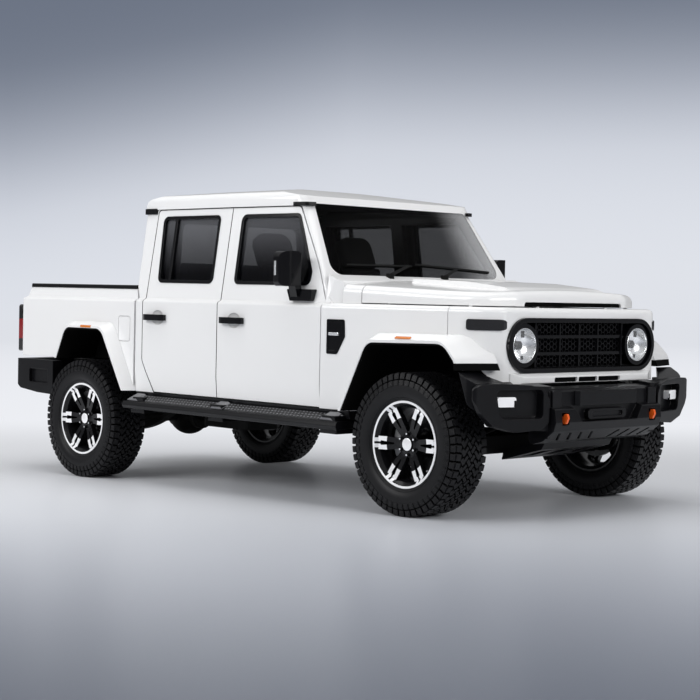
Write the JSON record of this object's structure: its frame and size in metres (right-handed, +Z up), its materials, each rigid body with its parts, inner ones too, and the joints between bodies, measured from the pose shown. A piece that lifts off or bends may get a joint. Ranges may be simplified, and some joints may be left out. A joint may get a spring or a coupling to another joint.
{
  "type": "lifted off-road 4x4 pickup truck",
  "caption": "White double-cab off-road pickup with wide squared arches, steel bumpers, side steps and an open bed; wheels roll, front pair steers, doors, hood and tailgate open.",
  "frame": {"origin": "on the ground, at the middle of the overall length and width", "axes": "+X forwards, +Y to the vehicle's left, +Z up"},
  "size_m": [4.5986, 1.9664, 1.8887],
  "materials": {
    "body_paint": "gloss white",
    "black_plastic": "grained matte",
    "gloss_black": "gloss black",
    "tyre": "matte rubber",
    "glass": "dark tint",
    "wheel_alloy": "black with machined faces",
    "dark_metal": "satin black chassis paint",
    "bare_metal": "as cast",
    "lamp_lens": "clear lens",
    "red_lens": "red and black lens",
    "hook_orange": "orange paint",
    "seat_fabric": "dark upholstery",
    "cabin_plastic": "dark moulding"
  },
  "bodies": {
    "chassis": {"cab_shell": "body_paint", "cowl_panel": "body_paint", "roof_panel": "body_paint", "cab_glass": "glass", "front_fenders": "body_paint", "nose_panel": "body_paint", "grille": "gloss_black", "headlamps": "lamp_lens", "cargo_bed": "body_paint", "bed_rail_caps": "black_plastic", "tail_lamps": "red_lens", "front_bumper": "black_plastic", "tow_hooks": "hook_orange", "small_lamps": "lamp_lens", "rear_bumper": "black_plastic", "ladder_frame": "dark_metal", "engine_block": "bare_metal", "fuel_tank": "dark_metal", "seats": "seat_fabric", "dashboard": "cabin_plastic", "steering_wheel": "cabin_plastic", "wheel_flares": "body_paint", "arch_liners": "black_plastic", "side_steps": "black_plastic", "front_axle": "dark_metal", "rear_axle": "dark_metal", "suspension": "dark_metal", "skid_plate": "black_plastic", "fender_vents": "gloss_black", "transfer_case": "bare_metal", "propeller_shafts": "dark_metal", "exhaust": "bare_metal", "wipers": "black_plastic", "gutter_caps": "black_plastic", "fuel_flap": "body_paint"},
    "hood": {"hood": "body_paint"},
    "tailgate": {"tailgate": "body_paint"},
    "door_front_left": {"door_front_left": "body_paint", "door_glass_front_left": "glass", "door_fittings_front_left": "black_plastic"},
    "door_front_right": {"door_front_right": "body_paint", "door_glass_front_right": "glass", "door_fittings_front_right": "black_plastic"},
    "door_rear_left": {"door_rear_left": "body_paint", "door_glass_rear_left": "glass", "door_fittings_rear_left": "black_plastic"},
    "door_rear_right": {"door_rear_right": "body_paint", "door_glass_rear_right": "glass", "door_fittings_rear_right": "black_plastic"},
    "knuckle_left": {"knuckle_left": "bare_metal"},
    "knuckle_right": {"knuckle_right": "bare_metal"},
    "wheel_front_left": {"tyre_front_left": "tyre", "rim_front_left": "wheel_alloy"},
    "wheel_front_right": {"tyre_front_right": "tyre", "rim_front_right": "wheel_alloy"},
    "wheel_rear_left": {"tyre_rear_left": "tyre", "rim_rear_left": "wheel_alloy"},
    "wheel_rear_right": {"tyre_rear_right": "tyre", "rim_rear_right": "wheel_alloy"}
  },
  "joints": [
    {"name": "hood_open", "type": "hinge", "parent": "chassis", "child": "hood", "pos_m": [1.16287, 0, 1.2978], "axis": [0, -1, 0], "range_deg": [0, 55]},
    {"name": "tailgate_open", "type": "hinge", "parent": "chassis", "child": "tailgate", "pos_m": [-2.11785, 0, 0.84441], "axis": [0, -1, 0], "range_deg": [0, 90]},
    {"name": "door_front_left_open", "type": "hinge", "parent": "chassis", "child": "door_front_left", "pos_m": [0.89004, 0.87, 0.83141], "axis": [-0.0209, 0, -0.9998], "range_deg": [0, 65]},
    {"name": "door_front_right_open", "type": "hinge", "parent": "chassis", "child": "door_front_right", "pos_m": [0.89004, -0.87, 0.83141], "axis": [0.0209, 0, 0.9998], "range_deg": [0, 65]},
    {"name": "door_rear_left_open", "type": "hinge", "parent": "chassis", "child": "door_rear_left", "pos_m": [-0.03282, 0.87, 0.85074], "axis": [-0.0209, 0, -0.9998], "range_deg": [0, 65]},
    {"name": "door_rear_right_open", "type": "hinge", "parent": "chassis", "child": "door_rear_right", "pos_m": [-0.03282, -0.87, 0.85074], "axis": [0.0209, 0, 0.9998], "range_deg": [0, 65]},
    {"name": "steer_left", "type": "hinge", "parent": "chassis", "child": "knuckle_left", "pos_m": [1.6, 0.705, 0.388], "axis": [0, 0, 1], "range_deg": [-30, 30]},
    {"name": "steer_right", "type": "hinge", "parent": "chassis", "child": "knuckle_right", "pos_m": [1.6, -0.705, 0.388], "axis": [0, 0, 1], "range_deg": [-30, 30]},
    {"name": "wheel_front_left_spin", "type": "hinge", "parent": "knuckle_left", "child": "wheel_front_left", "pos_m": [1.6, 0.8025, 0.388], "axis": [0, 1, 0], "continuous": true},
    {"name": "wheel_front_right_spin", "type": "hinge", "parent": "knuckle_right", "child": "wheel_front_right", "pos_m": [1.6, -0.8025, 0.388], "axis": [0, 1, 0], "continuous": true},
    {"name": "wheel_rear_left_spin", "type": "hinge", "parent": "chassis", "child": "wheel_rear_left", "pos_m": [-1.37, 0.8025, 0.388], "axis": [0, 1, 0], "continuous": true},
    {"name": "wheel_rear_right_spin", "type": "hinge", "parent": "chassis", "child": "wheel_rear_right", "pos_m": [-1.37, -0.8025, 0.388], "axis": [0, 1, 0], "continuous": true}
  ],
  "couplings": [
    {"joint": "steer_left", "follows": "steer_right", "ratio": 1}
  ]
}
